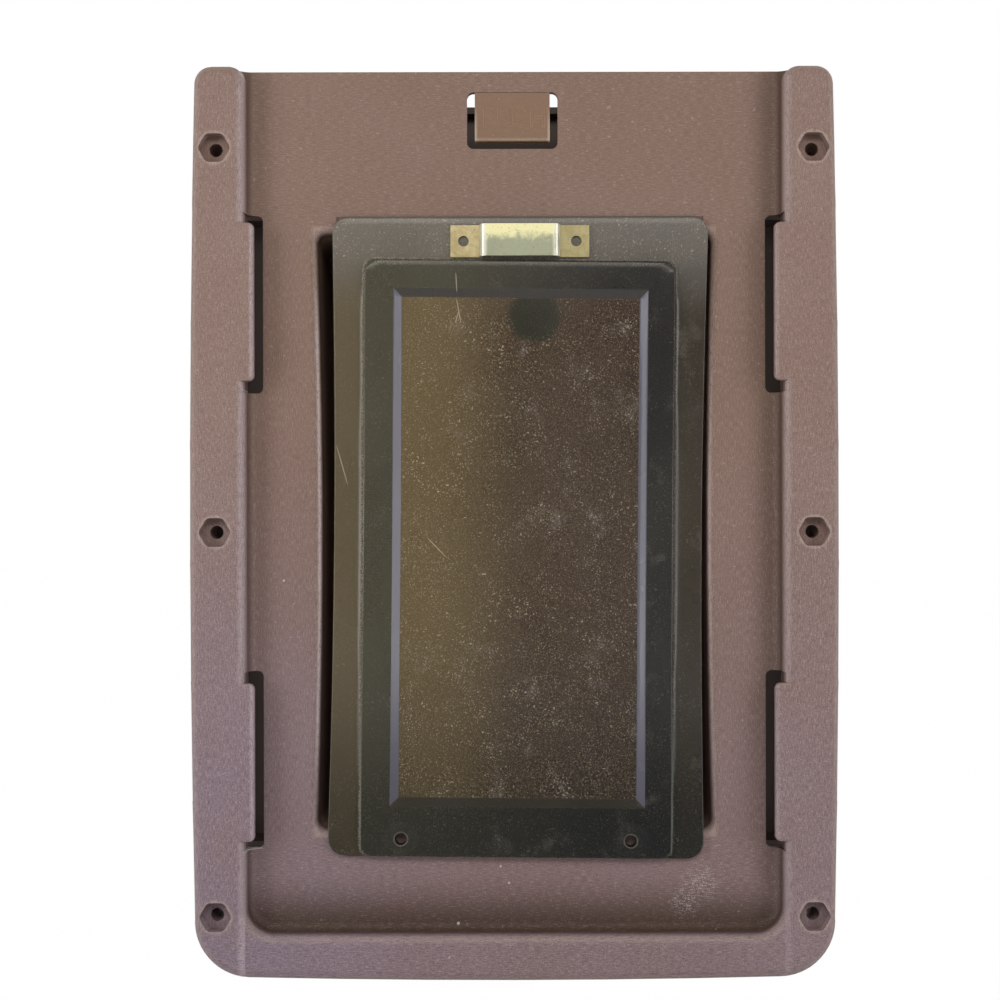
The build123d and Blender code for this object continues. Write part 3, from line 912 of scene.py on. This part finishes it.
# Outline letters moulded on the latch
word = bpy.data.curves.new("latch_word", "FONT")
word.body = "PUSH"
word.size = 0.0094
word.fill_mode = "NONE"
word.bevel_depth = 0.00014
word.align_x = "CENTER"
word.align_y = "CENTER"
word.space_character = 1.12
text = bpy.data.objects.new("latch_word", word)
text.rotation_euler = (math.radians(90), 0, 0)
text.scale = (0.91, 1, 1)
text.location = (0.0002, latch_low.y, 0.1406)
bpy.context.scene.collection.objects.link(text)
dress(text, smooth_plastic("word_plastic", word_brown, latch_brown, 0.0, latch_root_mm))
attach(text, "latch")


def white_floor(name, level, reach, shadow):
    """A pale floor that the camera sees as white, with a faint shadow left on it."""
    mat = bpy.data.materials.new(name)
    mat.use_nodes = True
    n = Nodes(mat.node_tree)
    n.tree.nodes.remove(n.tree.nodes["Principled BSDF"])
    camera_ray, clear_ray = n.seen()
    share = n.times(n.most(camera_ray, clear_ray), 1 - shadow)
    matt = n.add("BsdfDiffuse", Color=(0.7, 0.7, 0.7, 1))
    glow = n.add("Emission", Color=(1, 1, 1, 1), Strength=1.0)
    mix = n.add("MixShader", Fac=share)
    n.plug(mix.inputs[1], matt.outputs[0])
    n.plug(mix.inputs[2], glow.outputs[0])
    n.plug(n.tree.nodes["Material Output"].inputs["Surface"], mix.outputs[0])
    bm = bmesh.new()
    corners = [(-reach, -reach), (reach, -reach), (reach, reach), (-reach, reach)]
    bm.faces.new([bm.verts.new((x, y, level)) for x, y in corners])
    mesh_object(name, bm, mat, smooth=False)


def set_world(front, back, side):
    """White to the camera. The light comes from in front and behind, warm above and cool below.

    It is dim close to the camera's own line, where the photographer stands.
    """
    world = bpy.data.worlds.new("studio")
    world.use_nodes = True
    bpy.context.scene.world = world
    n = Nodes(world.node_tree)
    n.tree.nodes.clear()
    _, y, z = n.axes(n.add("TexCoord").outputs["Generated"])
    ahead = n.times(n.step(y, -0.2, -0.7), n.step(y, -0.97, -0.88, 0.3, 1.0))
    level = n.plus(n.times(ahead, front - side), n.step(y, 0.3, 0.85, side, back))
    cool, warm = (0.92, 0.96, 1.08, 1), (1.0, 0.95, 0.88, 1)
    tint = n.mix(n.step(z, -0.6, 0.6), cool, warm)
    camera_ray, clear_ray = n.seen()
    white_share = n.most(camera_ray, n.times(clear_ray, n.step(y, 0.0, 0.1)))
    soft = n.add("Background", Color=tint, Strength=level)
    white = n.add("Background", Color=(1, 1, 1, 1), Strength=1.0)
    mix = n.add("MixShader", Fac=white_share)
    n.plug(mix.inputs[1], soft.outputs[0])
    n.plug(mix.inputs[2], white.outputs[0])
    n.plug(n.add("OutputWorld").inputs["Surface"], mix.outputs[0])


def soft_box(name, place, size, power, colour):
    """A studio lamp of the given width and height, aimed at the middle of the door."""
    lamp = bpy.data.lights.new(name, "AREA")
    lamp.shape = "RECTANGLE"
    lamp.size, lamp.size_y = size
    lamp.energy = power
    lamp.color = colour
    obj = bpy.data.objects.new(name, lamp)
    obj.location = place
    obj.rotation_euler = (-Vector(place)).to_track_quat("-Z", "Y").to_euler()
    bpy.context.scene.collection.objects.link(obj)


white_floor("floor", level=cad_box[0][2] - 0.0005, reach=4.0, shadow=0.006)
set_world(front=0.12, back=0.9, side=0.05)
lamp_cool = (0.98, 0.97, 1.0)
soft_box("top_front", (-0.05, -0.75, 0.45), (0.9, 0.25), power=3.2, colour=(1.0, 0.95, 0.88))
soft_box("left_strip", (-0.60, -0.40, 0.08), (0.25, 0.6), power=2.2, colour=lamp_cool)
soft_box("right_strip", (0.60, -0.40, 0.08), (0.25, 0.6), power=1.85, colour=lamp_cool)
soft_box("rear", (0.6, 1.0, 0.7), (0.9, 0.7), power=6.0, colour=(1.0, 0.97, 0.94))

# The camera stands 500 mm in front of the rails, where the picture is 335 mm wide
rail_distance_mm = 500
picture_width_mm = 335
camera = bpy.data.cameras.new("camera")
camera.sensor_width = 36
camera.lens = camera.sensor_width * rail_distance_mm / picture_width_mm
camera.shift_x = -0.015
camera.shift_y = 0.015
eye = bpy.data.objects.new("camera", camera)
eye.location = (0.0002, -0.516, 0.0057)
eye.rotation_euler = (math.radians(90), math.radians(0.1), 0)
bpy.context.scene.collection.objects.link(eye)
bpy.context.scene.camera = eye
bpy.context.scene.view_settings.view_transform = "Standard"
